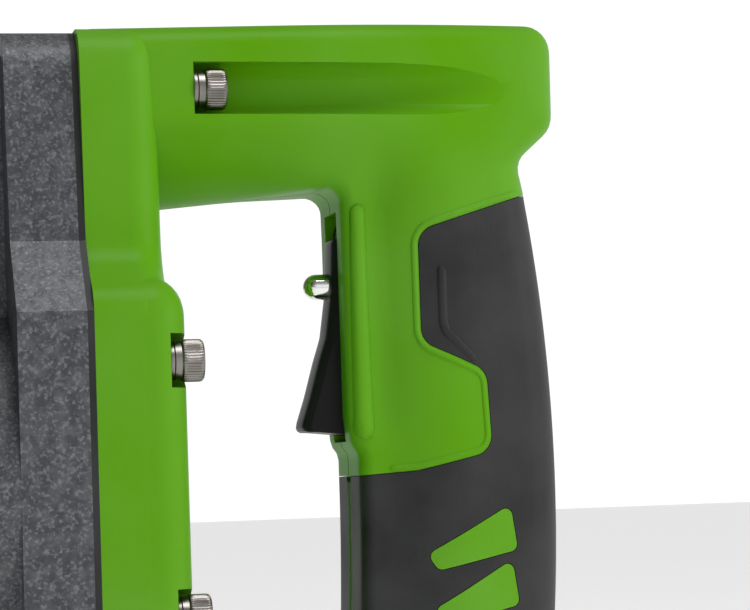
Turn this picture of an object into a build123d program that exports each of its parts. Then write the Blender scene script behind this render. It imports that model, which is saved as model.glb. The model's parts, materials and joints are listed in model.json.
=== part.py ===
from build123d import *
import os

# Heavy-duty electric staple gun with a D-handle behind an inline drive.
# Millimetres. The origin is the centre of the nose face, on the drive axis.
# +X runs back to the handle, +Z is up, and the tool's left side faces -Y.

# ---- driving dimensions ----
joint_x = 190.0            # front face of the green rear housing
gasket_t = 1.4
flange_t = 14.0            # rear flange of the cast housing
half_height = 96.0
hub_half_w = 39.0
hub_half_h = 36.0
lobe_half_w = 27.0         # where the lobe leaves the hub
lobe_tip_w = 20.5          # at the lobe's end
lobe_start_z = 51.0
strip_t = 16.3             # depth of the rear housing behind the lobes
hub_t = 19.0               # and behind the hub
edge_r = 6.0
gland_z, gland_r, gland_bore_r = -85.0, 7.0, 3.8
rib_count = 4
rib_pitch = 11.7

# D-handle, measured from the joint plane
beam_in_z = 61.0           # finger gap's top and bottom
grip_front = 58.4
grip_top_front = 56.2
grip_rear = 103.6
grip_neck = 98.6
block_rear = 106.3
block_low_z = 68.6
block_turn_z = 76.0
rubber_t = 1.8

# screws that hold the rear housing to the casting
bolt_r = 2.45
bolt_hole_r = 2.5
bolt_head_r = 4.25
bolt_head_h = 4.6
flat_washer_t = 1.0
spring_washer_t = 1.5
groove_r = 5.5
lobe_bolt_y, lobe_bolt_z, lobe_bolt_seat = 18.5, 83.0, 24.0
hub_bolt_y, hub_bolt_z, hub_bolt_seat = 33.5, 25.7, 15.3
bolt_end = -12.0

# trigger
pivot_x, pivot_z = 62.0, 53.5
trigger_half_w = 6.0
slot_half_w = 6.4
slot_low_z, slot_high_z = 8.3, 58.0
trigger_pin_r = 1.5
trigger_back = 69.0
lock_z, lock_r = 42.3, 2.8
lock_front, lock_rear = 49.7, 60.0
plunger_z = 27.0           # switch plunger
switch_plunger_r = 3.0

# drive
barrel_r = 39.0
bore_r = 33.0
nose_len = 58.0
nose_half_w = 17.0
nose_z = 14.0
barrel_x = 78.0
drive_stroke = 30.0
plunger_r = 12.9
plunger_front = 110.0
plunger_rear = 150.0
stem_r = 8.0
blade_tip = 31.0
blade_half_w = 6.4
blade_t = 1.2
channel_gap = 1.5
frame_x0, frame_x1 = 80.0, 152.0
board_x = 163.0
foot_reach, foot_half_w = 8.0, 6.0
foot_spring_z = 18.6
wheel_z = 31.0

# magazine
mag_in_x0, mag_in_x1 = 3.0, 30.3
mag_in_y = 6.75
mag_wall = 2.75
mag_low_z = -88.0
skid_low_z = -half_height
strip_low_z = -46.0
rail_x0, rail_x1, rail_half_y = 4.5, 18.0, 5.2
latch_x, latch_z = 37.0, -76.5

os.makedirs("parts", exist_ok=True)


def save(piece, name):
    piece.part.label = name
    export_step(piece.part, "parts/" + name + ".step")


def both_sides(y, z):
    """Four places: left and right, upper and lower."""
    return [(y, z), (-y, z), (y, -z), (-y, -z)]


def rear_profile(inset=0.0):
    """Outline of the joint between casting and rear housing, seen along X."""
    half = [
        (0, half_height - inset),
        (lobe_tip_w - inset, half_height - inset),
        (lobe_half_w - inset, lobe_start_z - inset / 2),
        (hub_half_w - inset, hub_half_h - inset / 2),
    ]
    lower = [(y, -z) for y, z in reversed(half)]
    left = [(-y, z) for y, z in reversed(half[1:] + lower[:-1])]
    with BuildSketch() as outline:
        with BuildLine():
            Polyline(*half, *lower, *left, close=True)
        make_face()
        corners = outline.vertices().filter_by(lambda v: abs(v.X) > 1)
        fillet(corners.filter_by(lambda v: abs(v.Y) > 80), 11 - inset / 2)
        fillet(corners.filter_by(lambda v: abs(v.Y) < 80), 9)
    return outline.sketch


def coil(start, direction, length, mean_r, wire_r, turns):
    """A compression spring that starts at a point and runs along a direction."""
    start, direction = Vector(start), Vector(direction)
    travel = length - 2 * wire_r
    with BuildPart() as spring:
        with BuildLine() as path:
            Helix(pitch=travel / turns, height=travel, radius=mean_r,
                  center=start + direction * wire_r, direction=direction)
        with BuildSketch(Plane(origin=path.line @ 0, z_dir=path.line % 0)):
            Circle(wire_r)
        sweep(is_frenet=True)
    return spring


# ---- casting and joint ----
with BuildPart() as main_housing:
    with BuildSketch(Plane.XZ):
        with BuildLine():
            Polyline((nose_len, 0), (nose_len, 24), (barrel_x - 4, 35), (barrel_x + 4, barrel_r),
                     (joint_x - gasket_t, barrel_r), (joint_x - gasket_t, 0), close=True)
        make_face()
    revolve(axis=Axis.X)
    # cast cooling ribs
    for i in range(7):
        with BuildSketch(Plane.YZ.offset(barrel_x + 12 + 9 * i)):
            Circle(barrel_r + 2.5)
        extrude(amount=3.5)
    with BuildSketch(Plane.YZ.offset(joint_x - gasket_t - flange_t)):
        add(rear_profile())
    extrude(amount=flange_t)
    # paired webs that carry the lobes
    for side in (-1, 1):
        with BuildSketch(Plane.XZ.offset(side * 11.5)):
            for up in (-1, 1):
                with BuildLine():
                    Polyline((128, up * 34), (joint_x - 6, up * 34), (joint_x - 6, up * 92),
                             (joint_x - 24, up * 90), close=True)
                make_face()
        extrude(amount=2.5, both=True)
    # bores: solenoid chamber, front chamber, guide bush seat
    with BuildSketch(Plane.YZ.offset(joint_x)):
        Circle(bore_r)
    extrude(amount=-(joint_x - barrel_x + 2), mode=Mode.SUBTRACT)
    with BuildSketch(Plane.YZ.offset(barrel_x)):
        Circle(18)
    extrude(amount=-10, mode=Mode.SUBTRACT)
    with BuildSketch(Plane.YZ.offset(barrel_x - 8)):
        Circle(12)
    extrude(amount=-14, mode=Mode.SUBTRACT)
    # threaded holes for the rear housing screws
    with BuildSketch(Plane.YZ.offset(joint_x)):
        with Locations(*both_sides(lobe_bolt_y, lobe_bolt_z), *both_sides(hub_bolt_y, hub_bolt_z)):
            Circle(bolt_hole_r)
    extrude(amount=-(gasket_t + flange_t - 2), mode=Mode.SUBTRACT)
    # holes for nose screws, the depth wheel's stud and the brace screw
    with BuildSketch(Plane.YZ.offset(nose_len)):
        with Locations((13, 8), (-13, 8), (13, -8), (-13, -8)):
            Circle(2.1)
    extrude(amount=9, mode=Mode.SUBTRACT)
    with BuildSketch(Plane.YZ.offset(nose_len)):
        with Locations((0, wheel_z)):
            Circle(2.5)
    extrude(amount=16, mode=Mode.SUBTRACT)
    with BuildSketch(Plane.XZ.offset(-20)):
        with Locations((160, -61)):
            Circle(2.5)
    extrude(amount=40, mode=Mode.SUBTRACT)
save(main_housing, "main_housing")


with BuildPart() as rear_gasket:
    with BuildSketch(Plane.YZ.offset(joint_x - gasket_t)):
        add(rear_profile())
        Circle(bore_r, mode=Mode.SUBTRACT)
        with Locations((0, 62), (0, -62)):
            RectangleRounded(18, 44, 5, mode=Mode.SUBTRACT)
        with Locations(*both_sides(lobe_bolt_y, lobe_bolt_z), *both_sides(hub_bolt_y, hub_bolt_z)):
            Circle(bolt_hole_r, mode=Mode.SUBTRACT)
    extrude(amount=gasket_t)
save(rear_gasket, "rear_gasket")


# ---- rear housing and D-handle ----
def ring():
    """The D-handle as one solid, before its edges are rounded."""
    x = joint_x
    top = half_height
    with BuildPart() as handle:
        with BuildSketch(Plane.XZ):
            with BuildLine():
                Polyline((x + grip_neck, -block_low_z), (x + block_rear, -block_turn_z), (x + block_rear, -top),
                         (x + 6, -top), (x + 6, top), (x + block_rear, top),
                         (x + block_rear, block_turn_z), (x + grip_neck, block_low_z))
                ThreePointArc((x + grip_neck, block_low_z), (x + grip_rear, 0), (x + grip_neck, -block_low_z))
            make_face()
            with BuildLine():
                gap = beam_in_z
                Line((x + 2, gap - 0.8), (x + grip_top_front - 6, gap + 0.8))
                RadiusArc((x + grip_top_front - 6, gap + 0.8), (x + grip_top_front, gap - 5), 6)
                ThreePointArc((x + grip_top_front, gap - 5), (x + grip_front, 0),
                              (x + grip_top_front, 5 - gap))
                RadiusArc((x + grip_top_front, 5 - gap), (x + grip_top_front - 6, -gap - 0.8), 6)
                Line((x + grip_top_front - 6, -gap - 0.8), (x + 2, 0.8 - gap))
                Line((x + 2, 0.8 - gap), (x + 2, gap - 0.8))
            make_face(mode=Mode.SUBTRACT)
        extrude(amount=60, both=True)
        extrude(plan_outline(), amount=200, mode=Mode.INTERSECT)
    return handle


def rounded_ring():
    """The D-handle with its long edges rounded."""
    handle = ring()
    with handle:
        outer = handle.edges().filter_by(lambda e: abs(e.center().Y) > 3 and e.center().X > joint_x + 8)
        fillet(outer, edge_r)
    return handle


def plan_outline(inset=0.0):
    """The handle seen from above: it narrows towards the palm."""
    x = joint_x
    with BuildSketch(Plane.XY.offset(-100)) as plan:
        with BuildLine():
            ThreePointArc((x - 2, 23.6 - inset), (x + 68, 18.4 - inset), (x + 112, 6.5 - inset))
            Line((x + 112, 6.5 - inset), (x + 112, inset - 6.5))
            ThreePointArc((x + 112, inset - 6.5), (x + 68, inset - 18.4), (x - 2, inset - 23.6))
            Line((x - 2, inset - 23.6), (x - 2, 23.6 - inset))
        make_face()
    return plan.sketch


def grip_core():
    """What is left of the grip under the rubber."""
    x, t = joint_x, rubber_t
    with BuildPart() as core:
        with BuildSketch(Plane.XZ):
            with BuildLine():
                ThreePointArc((x + grip_neck - t, 68), (x + grip_rear - t, 0), (x + grip_neck - t, -68))
                Line((x + grip_neck - t, -68), (x + grip_top_front + t, -68))
                ThreePointArc((x + grip_top_front + t, -68), (x + grip_front + t, 0),
                              (x + grip_top_front + t, 68))
                Line((x + grip_top_front + t, 68), (x + grip_neck - t, 68))
            make_face()
        extrude(amount=60, both=True)
        extrude(plan_outline(t), amount=200, mode=Mode.INTERSECT)
        fillet(core.edges().filter_by(lambda e: e.length > 100 and abs(e.center().Y) > 3), edge_r - t)
    return core


def rubber_zone():
    """Side view of the overmould: the palm and the lower grip, with the ribs left out."""
    x = joint_x
    with BuildSketch(Plane.XZ.offset(-60)) as zone:
        with BuildLine():
            Polyline((x + 50, 0.8), (x + 70.4, 2.0), (x + 87, 5.6), (x + 86.2, 22.8), (x + 72, 29.2),
                     (x + 72, 53), (x + 95, 60.2), (x + 112, 65.3), (x + 112, -65.3), (x + 95, -60.2),
                     (x + 76, -56), (x + 50, -55), close=True)
        make_face()
        inner = zone.vertices().filter_by(lambda v: x + 71 < v.X < x + 90 and v.Z > 5)
        fillet(inner, 4.5)
        for i in range(rib_count):
            drop = i * rib_pitch
            with BuildLine():
                Polyline((x + 71.6 + i, -15.8 - drop), (x + 90.8, -5.8 - drop), (x + 92.2, -15.7 - drop),
                         (x + 74.0 + i, -19.4 - drop), close=True)
            make_face(mode=Mode.SUBTRACT)
        small = zone.vertices().filter_by(lambda v: x + 71 < v.X < x + 93 and -56 < v.Z < -5)
        fillet(small, 1.7)
    return zone.sketch


with BuildPart() as handle_ring:
    add(rounded_ring().part)

with BuildPart() as rubber_skin:
    add(handle_ring.part)
    extrude(rubber_zone(), amount=120, mode=Mode.INTERSECT)
    add(grip_core().part, mode=Mode.SUBTRACT)

with BuildPart() as strip_block:
    with BuildSketch(Plane.YZ.offset(joint_x)):
        add(rear_profile())
    extrude(amount=strip_t)
    fillet(strip_block.faces().sort_by(Axis.X)[-1].edges(), 5)

with BuildPart() as hub_block:
    with BuildSketch(Plane.YZ.offset(joint_x)):
        RectangleRounded(2 * hub_half_w, 2 * hub_half_h + 6, 9)
    extrude(amount=hub_t)
    fillet(hub_block.faces().sort_by(Axis.X)[-1].edges(), 7)

shell_screws = [(52, 73), (52, -73), (98, 84), (97, -73), (80, 1)]
screw_seat_y = 6.0

with BuildPart() as handle_body:
    add(strip_block.part)
    add(hub_block.part)
    add(handle_ring.part)
    add(rubber_skin.part, mode=Mode.SUBTRACT)
    # hollows behind the joint
    with BuildSketch(Plane.YZ.offset(joint_x)):
        RectangleRounded(54, 64, 6)
    extrude(amount=hub_t - 4, mode=Mode.SUBTRACT)
    with BuildSketch(Plane.YZ.offset(joint_x)):
        with Locations((0, 59), (0, -59)):
            RectangleRounded(18, 58, 5)
    extrude(amount=strip_t - 4, mode=Mode.SUBTRACT)
    # hollows of the beams and the grip, and the cable's way between them
    with BuildSketch(Plane.XZ.offset(-9)):
        for x0, x1, z0, z1 in ((6, 40, 66, 76), (6, 40, -76, -66), (64, 94, -60, -6)):
            with Locations((joint_x + (x0 + x1) / 2, (z0 + z1) / 2)):
                RectangleRounded(x1 - x0, z1 - z0, 2)
    extrude(amount=18, mode=Mode.SUBTRACT)
    with BuildSketch(Plane.XZ.offset(-10)):
        with Locations((joint_x + 77.5, 35.7)):
            RectangleRounded(33, 56.6, 2)
    extrude(amount=20, mode=Mode.SUBTRACT)
    with BuildSketch(Plane.XZ.offset(-4)):
        for x0, x1, z0, z1 in ((36, 66, 63, 68), (86, 92, -8, 12), (78, 90, -89, -58)):
            with Locations((joint_x + (x0 + x1) / 2, (z0 + z1) / 2)):
                Rectangle(x1 - x0, z1 - z0)
    extrude(amount=8, mode=Mode.SUBTRACT)
    # trigger slot and its pin hole
    with BuildSketch(Plane.XZ.offset(-slot_half_w)):
        with Locations((joint_x + 52, (slot_low_z + slot_high_z) / 2)):
            Rectangle(22, slot_high_z - slot_low_z)
    extrude(amount=2 * slot_half_w, mode=Mode.SUBTRACT)
    with BuildSketch(Plane.XZ.offset(-12)):
        with Locations((joint_x + pivot_x, pivot_z)):
            Circle(trigger_pin_r)
    extrude(amount=24, mode=Mode.SUBTRACT)
    # long grooves that lead a driver to the lobe screws, and notches at the hub screws
    with BuildSketch(Plane.YZ.offset(joint_x + lobe_bolt_seat)):
        with Locations(*both_sides(lobe_bolt_y, lobe_bolt_z)):
            Circle(groove_r)
    extrude(amount=100, mode=Mode.SUBTRACT)
    with BuildSketch(Plane.YZ.offset(joint_x + hub_bolt_seat)):
        with Locations(*both_sides(hub_bolt_y, hub_bolt_z)):
            Circle(groove_r)
        with Locations(*both_sides(hub_bolt_y + 8, hub_bolt_z)):
            Rectangle(16, 2 * groove_r)
    extrude(amount=10, mode=Mode.SUBTRACT)
    with BuildSketch(Plane.YZ.offset(joint_x)):
        with Locations(*both_sides(lobe_bolt_y, lobe_bolt_z), *both_sides(hub_bolt_y, hub_bolt_z)):
            Circle(bolt_hole_r)
    extrude(amount=30, mode=Mode.SUBTRACT)
    # cable gland seat
    with BuildSketch(Plane.YZ.offset(joint_x + block_rear + 2)):
        with Locations((0, gland_z)):
            Circle(gland_r)
    extrude(amount=-12, mode=Mode.SUBTRACT)
    # shell screws, driven from the right
    with BuildSketch(Plane.XZ.offset(7.5)):
        with Locations([(joint_x + x, z) for x, z in shell_screws]):
            Circle(1.6)
    extrude(amount=-20, mode=Mode.SUBTRACT)
    with BuildSketch(Plane.XZ.offset(-screw_seat_y)):
        with Locations([(joint_x + x, z) for x, z in shell_screws]):
            Circle(3.3)
    extrude(amount=-40, mode=Mode.SUBTRACT)

for side, keep in (("left", Keep.TOP), ("right", Keep.BOTTOM)):
    with BuildPart() as half_shell:
        add(handle_body.part)
        split(bisect_by=Plane.XZ, keep=keep)
    save(half_shell, "handle_shell_" + side)
    with BuildPart() as half_rubber:
        add(rubber_skin.part)
        with BuildSketch(Plane.XZ.offset(-screw_seat_y)):
            with Locations([(joint_x + x, z) for x, z in shell_screws]):
                Circle(3.3)
        extrude(amount=-40, mode=Mode.SUBTRACT)
        split(bisect_by=Plane.XZ, keep=keep)
    save(half_rubber, "grip_rubber_" + side)

with BuildPart() as handle_screws:
    with BuildSketch(Plane.XZ.offset(7)):
        with Locations([(joint_x + x, z) for x, z in shell_screws]):
            Circle(1.6)
    extrude(amount=-(7 + screw_seat_y))
    with BuildSketch(Plane.XZ.offset(-screw_seat_y)):
        with Locations([(joint_x + x, z) for x, z in shell_screws]):
            Circle(3.0)
    extrude(amount=-2.4)
    with BuildSketch(Plane.XZ.offset(-screw_seat_y - 1.2)):
        with Locations([(joint_x + x, z) for x, z in shell_screws]):
            Circle(1.2)
    extrude(amount=-2, mode=Mode.SUBTRACT)
save(handle_screws, "handle_screws")

bolt_places = [(lobe_bolt_seat, lobe_bolt_y, lobe_bolt_z), (hub_bolt_seat, hub_bolt_y, hub_bolt_z)]

with BuildPart() as flat_washers:
    for seat, y, z in bolt_places:
        with BuildSketch(Plane.YZ.offset(joint_x + seat)):
            with Locations(*both_sides(y, z)):
                Circle(5.0)
                Circle(bolt_hole_r, mode=Mode.SUBTRACT)
        extrude(amount=flat_washer_t)
save(flat_washers, "flat_washers")

with BuildPart() as spring_washers:
    for seat, y, z in bolt_places:
        with BuildSketch(Plane.YZ.offset(joint_x + seat + flat_washer_t)):
            with Locations(*both_sides(y, z)):
                Circle(4.4)
                Circle(bolt_hole_r + 0.1, mode=Mode.SUBTRACT)
            with Locations([(sy, sz + 3.5) for sy, sz in both_sides(y, z)]):
                Rectangle(0.5, 4, mode=Mode.SUBTRACT)
        extrude(amount=spring_washer_t)
save(spring_washers, "spring_washers")

with BuildPart() as handle_bolts:
    for seat, y, z in bolt_places:
        under = joint_x + seat + flat_washer_t + spring_washer_t
        with BuildSketch(Plane.YZ.offset(joint_x + bolt_end)):
            with Locations(*both_sides(y, z)):
                Circle(bolt_r)
        extrude(amount=under - joint_x - bolt_end)
        with BuildSketch(Plane.YZ.offset(under)):
            with Locations(*both_sides(y, z)):
                Circle(bolt_head_r)
        extrude(amount=bolt_head_h)
        rims = handle_bolts.edges().filter_by(lambda e: abs(e.center().X - under - bolt_head_h) < 0.01)
        chamfer(rims, 0.5)
        with BuildSketch(Plane.YZ.offset(under + bolt_head_h)):
            with Locations(*both_sides(y, z)):
                RegularPolygon(2.3, 6)
        extrude(amount=-2.6, mode=Mode.SUBTRACT)
save(handle_bolts, "handle_bolts")

with BuildPart() as cable_gland:
    with BuildSketch(Plane.YZ.offset(joint_x + block_rear - 9)):
        with Locations((0, gland_z)):
            Circle(gland_r)
            Circle(gland_bore_r, mode=Mode.SUBTRACT)
    extrude(amount=9)
    with BuildSketch(Plane.YZ.offset(joint_x + block_rear)):
        with Locations((0, gland_z)):
            Circle(gland_r + 1.2)
            Circle(gland_bore_r, mode=Mode.SUBTRACT)
    extrude(amount=4)
    chamfer(cable_gland.faces().sort_by(Axis.X)[-1].edges().sort_by(SortBy.RADIUS)[-1], 1.2)
save(cable_gland, "cable_gland")

# ---- trigger ----
with BuildPart() as trigger:
    x = joint_x
    with BuildSketch(Plane.XZ):
        with BuildLine():
            Line((x + 56.4, 57), (x + 55.2, 46))
            Spline((x + 55.2, 46), (x + 53.5, 31.3), (x + 47.4, 12.4))
            Line((x + 47.4, 12.4), (x + 48.4, 10.8))
            Line((x + 48.4, 10.8), (x + 59, 9.2))
            Line((x + 59, 9.2), (x + trigger_back, 12))
            Line((x + trigger_back, 12), (x + trigger_back, 54))
            Line((x + trigger_back, 54), (x + 66, 57))
            Line((x + 66, 57), (x + 56.4, 57))
        make_face()
    extrude(amount=trigger_half_w, both=True)
    front = trigger.edges().filter_by(lambda e: abs(e.center().Y) > 5 and e.center().X < x + 56.2)
    chamfer(front.filter_by(lambda e: e.center().Z > 12), 1.2)
    with BuildSketch(Plane.XZ.offset(-10)):
        with Locations((x + pivot_x, pivot_z)):
            Circle(trigger_pin_r + 0.05)
    extrude(amount=20, mode=Mode.SUBTRACT)
    with BuildSketch(Plane.YZ.offset(x + 40)):
        with Locations((0, lock_z)):
            Circle(lock_r + 0.05)
    extrude(amount=lock_rear + 6 - 40, mode=Mode.SUBTRACT)
save(trigger, "trigger")

with BuildPart() as trigger_pin:
    with BuildSketch(Plane.XZ.offset(-12)):
        with Locations((joint_x + pivot_x, pivot_z)):
            Circle(trigger_pin_r)
    extrude(amount=24)
save(trigger_pin, "trigger_pin")

with BuildPart() as lock_button:
    with BuildSketch(Plane.YZ.offset(joint_x + lock_front)):
        with Locations((0, lock_z)):
            Circle(lock_r)
    extrude(amount=lock_rear - lock_front)
    fillet(lock_button.faces().sort_by(Axis.X)[0].edges(), 2)
save(lock_button, "lock_button")

save(coil((joint_x + lock_rear + 0.1, 0, lock_z), (1, 0, 0), 5.7, 1.9, 0.35, 5), "lock_button_spring")
save(coil((joint_x + trigger_back + 0.2, 0, 15), (1, 0, 0), 94 - trigger_back - 0.4, 3.2, 0.5, 9),
     "trigger_spring")

with BuildPart() as switch_body:
    with BuildSketch(Plane.XZ):
        with Locations((joint_x + 88, 35)):
            Rectangle(11, 30)
    extrude(amount=7.5, both=True)
    fillet(switch_body.edges().filter_by(Axis.Y), 1)
    with BuildSketch(Plane.YZ.offset(joint_x + 82)):
        with Locations((0, plunger_z)):
            Circle(switch_plunger_r + 0.3)
    extrude(amount=9.5, mode=Mode.SUBTRACT)
    # terminals
    with BuildSketch(Plane.YZ.offset(joint_x + 92)):
        with Locations((4, 46), (-4, 46), (4, 41), (-4, 41)):
            Rectangle(2, 0.8)
    extrude(amount=1.5)
save(switch_body, "switch_body")

with BuildPart() as switch_plunger:
    with BuildSketch(Plane.YZ.offset(joint_x + trigger_back + 0.7)):
        with Locations((0, plunger_z)):
            Circle(switch_plunger_r)
    extrude(amount=13)
    fillet(switch_plunger.faces().sort_by(Axis.X)[0].edges(), 1)
save(switch_plunger, "switch_plunger")

# ---- drive ----
with BuildPart() as solenoid_frame:
    with BuildSketch(Plane.YZ.offset(frame_x0)):
        Circle(bore_r - 0.2)
    extrude(amount=frame_x1 - frame_x0)
    with BuildSketch(Plane.YZ.offset(frame_x0 + 4)):
        Circle(bore_r - 3.2)
    extrude(amount=frame_x1 - frame_x0 - 4, mode=Mode.SUBTRACT)
    with BuildSketch(Plane.YZ.offset(frame_x0)):
        Circle(plunger_r + 0.4)
    extrude(amount=5, mode=Mode.SUBTRACT)
save(solenoid_frame, "solenoid_frame")

with BuildPart() as solenoid_plate:
    with BuildSketch(Plane.YZ.offset(frame_x1)):
        Circle(bore_r - 0.2)
        Circle(10.3, mode=Mode.SUBTRACT)
    extrude(amount=6)
save(solenoid_plate, "solenoid_plate")

with BuildPart() as coil_bobbin:
    with BuildSketch(Plane.XZ):
        with BuildLine():
            Polyline((frame_x0 + 4, plunger_r + 0.1), (frame_x1, plunger_r + 0.1), (frame_x1, 29.4),
                     (frame_x1 - 2.5, 29.4), (frame_x1 - 2.5, 14.6), (frame_x0 + 6.5, 14.6),
                     (frame_x0 + 6.5, 29.4), (frame_x0 + 4, 29.4), close=True)
        make_face()
    revolve(axis=Axis.X)
save(coil_bobbin, "coil_bobbin")

with BuildPart() as coil_winding:
    with BuildSketch(Plane.YZ.offset(frame_x0 + 6.5)):
        Circle(28.5)
        Circle(14.6, mode=Mode.SUBTRACT)
    extrude(amount=frame_x1 - frame_x0 - 9)
save(coil_winding, "coil_winding")

with BuildPart() as plunger:
    with BuildSketch(Plane.YZ.offset(plunger_front)):
        Circle(plunger_r)
    extrude(amount=plunger_rear - plunger_front)
    with BuildSketch(Plane.YZ.offset(plunger_front)):
        Circle(stem_r)
    extrude(amount=-10)
    with BuildSketch(Plane.YZ.offset(plunger_front - 10)):
        Rectangle(2 * stem_r + 2, blade_t)
    extrude(amount=8, mode=Mode.SUBTRACT)
    with BuildSketch(Plane.XY.offset(-10)):
        with Locations((plunger_front - 6, 0)):
            Circle(1.5)
    extrude(amount=20, mode=Mode.SUBTRACT)
save(plunger, "plunger")

with BuildPart() as driver_blade:
    with BuildSketch(Plane.XY.offset(-blade_t / 2)):
        with Locations(((blade_tip + plunger_front - 2) / 2, 0)):
            Rectangle(plunger_front - 2 - blade_tip, 2 * blade_half_w)
        with Locations((plunger_front - 6, 0)):
            Circle(1.5, mode=Mode.SUBTRACT)
    extrude(amount=blade_t)
save(driver_blade, "driver_blade")

with BuildPart() as blade_pin:
    with BuildSketch(Plane.XY.offset(-7)):
        with Locations((plunger_front - 6, 0)):
            Circle(1.5)
    extrude(amount=14)
save(blade_pin, "blade_pin")

save(coil((barrel_x - 9.9, 0, 0), (1, 0, 0), plunger_front - barrel_x + 9.8, 11.6, 0.65, 8),
     "return_spring")

with BuildPart() as front_bumper:
    with BuildSketch(Plane.YZ.offset(barrel_x - 10)):
        Circle(10.5)
        Circle(stem_r + 0.8, mode=Mode.SUBTRACT)
    extrude(amount=11.5)
save(front_bumper, "front_bumper")

with BuildPart() as rear_bumper:
    with BuildSketch(Plane.YZ.offset(plunger_rear + 0.3)):
        Circle(10)
    extrude(amount=frame_x1 + 6 - plunger_rear - 0.3)
save(rear_bumper, "rear_bumper")

with BuildPart() as guide_bush:
    with BuildSketch(Plane.YZ.offset(nose_len)):
        Circle(12)
        Rectangle(2 * blade_half_w + 0.4, channel_gap, mode=Mode.SUBTRACT)
    extrude(amount=10)
save(guide_bush, "guide_bush")

with BuildPart() as control_board:
    with BuildSketch(Plane.YZ.offset(board_x)):
        RectangleRounded(46, 46, 3)
    extrude(amount=1.6)
    with BuildSketch(Plane.YZ.offset(board_x + 1.6)):
        with Locations((-12, 10), (12, 10)):
            Circle(5)
    extrude(amount=12)
    with BuildSketch(Plane.YZ.offset(board_x + 1.6)):
        with Locations((0, -12)):
            Rectangle(28, 10)
    extrude(amount=7)
save(control_board, "control_board")

# ---- nose ----
with BuildPart() as nose_block:
    with BuildSketch(Plane.YZ):
        with Locations((0, (channel_gap / 2 - nose_z) / 2)):
            Rectangle(2 * nose_half_w, nose_z + channel_gap / 2)
        Rectangle(2 * blade_half_w + 0.4, channel_gap, mode=Mode.SUBTRACT)
    extrude(amount=nose_len)
    with BuildSketch(Plane.XY.offset(-nose_z)):
        with Locations(((mag_in_x0 + mag_in_x1) / 2, 0)):
            Rectangle(mag_in_x1 - mag_in_x0, 2 * mag_in_y)
    extrude(amount=nose_z, mode=Mode.SUBTRACT)
    with BuildSketch(Plane.YZ):
        with Locations((13, -8), (-13, -8)):
            Circle(2.1)
    extrude(amount=nose_len, mode=Mode.SUBTRACT)
save(nose_block, "nose_block")

with BuildPart() as nose_cover:
    with BuildSketch(Plane.YZ):
        with Locations((0, (nose_z + channel_gap / 2) / 2)):
            Rectangle(2 * nose_half_w, nose_z - channel_gap / 2)
    extrude(amount=nose_len)
    with BuildSketch(Plane.YZ):
        with Locations((13, 8), (-13, 8)):
            Circle(2.1)
    extrude(amount=nose_len, mode=Mode.SUBTRACT)
    # bridge that holds the contact foot down
    with BuildSketch(Plane.YZ.offset(18)):
        with Locations((0, nose_z + 2.8)):
            Rectangle(22, 5.6)
        with Locations((0, nose_z + 1.5)):
            Rectangle(2 * foot_half_w + 0.6, 3, mode=Mode.SUBTRACT)
    extrude(amount=10)
save(nose_cover, "nose_cover")

with BuildPart() as nose_screws:
    with BuildSketch(Plane.YZ.offset(0.2)):
        with Locations(*both_sides(13, 8)):
            Circle(2.05)
    extrude(amount=nose_len + 8)
save(nose_screws, "nose_screws")

with BuildPart() as safety_foot:
    with BuildSketch(Plane.XZ):
        with BuildLine():
            z = nose_z + 0.4
            Polyline((-foot_reach, 3), (-foot_reach, z + 2), (40, z + 2), (40, 36), (42, 36), (42, z),
                     (2 - foot_reach, z), (2 - foot_reach, 3), close=True)
        make_face()
    extrude(amount=foot_half_w, both=True)
save(safety_foot, "safety_foot")

save(coil((42.1, 0, foot_spring_z), (1, 0, 0), nose_len - 42.3, 2.4, 0.4, 6), "safety_foot_spring")

with BuildPart() as depth_stud:
    with BuildSketch(Plane.YZ.offset(nose_len - 10)):
        with Locations((0, wheel_z)):
            Circle(2.5)
    extrude(amount=25)
save(depth_stud, "depth_stud")

with BuildPart() as depth_wheel:
    with BuildSketch(Plane.YZ.offset(nose_len - 9.5)):
        with Locations((0, wheel_z)):
            Circle(7.5)
            Circle(2.55, mode=Mode.SUBTRACT)
            with PolarLocations(7.5, 16):
                Circle(0.7, mode=Mode.SUBTRACT)
    extrude(amount=6)
save(depth_wheel, "depth_wheel")

# ---- magazine ----
with BuildPart() as magazine_channel:
    mid_x = (mag_in_x0 + mag_in_x1) / 2
    with BuildSketch(Plane.XY.offset(mag_low_z)):
        with Locations((mid_x, 0)):
            Rectangle(mag_in_x1 - mag_in_x0 + 2 * mag_wall, 2 * (mag_in_y + mag_wall))
            Rectangle(mag_in_x1 - mag_in_x0, 2 * mag_in_y, mode=Mode.SUBTRACT)
    extrude(amount=-mag_low_z - nose_z)
    # sight windows
    with BuildSketch(Plane.XZ.offset(-20)):
        with Locations((mid_x, -40)):
            SlotOverall(36, 5, rotation=90)
    extrude(amount=40, mode=Mode.SUBTRACT)
    # ears for the latch pin
    with BuildSketch(Plane.XZ):
        with BuildLine():
            x = mag_in_x1 + mag_wall
            Polyline((x, -70), (x + 8, -73), (x + 8, -80), (x, -83), close=True)
        make_face()
        with Locations((latch_x, latch_z)):
            Circle(1.5, mode=Mode.SUBTRACT)
    extrude(amount=6.5, both=True)
    with BuildSketch(Plane.XZ):
        with Locations((latch_x + 1, latch_z)):
            Rectangle(12, 20)
    extrude(amount=4.3, both=True, mode=Mode.SUBTRACT)
save(magazine_channel, "magazine_channel")

with BuildPart() as magazine_feet:
    mid_x = (mag_in_x0 + mag_in_x1) / 2
    with BuildSketch(Plane.XY.offset(skid_low_z)):
        for side in (-1, 1):
            with Locations((mid_x, side * (mag_in_y + mag_wall + 3))):
                RectangleRounded(34, 6, 2)
    extrude(amount=16)
save(magazine_feet, "magazine_feet")

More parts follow.
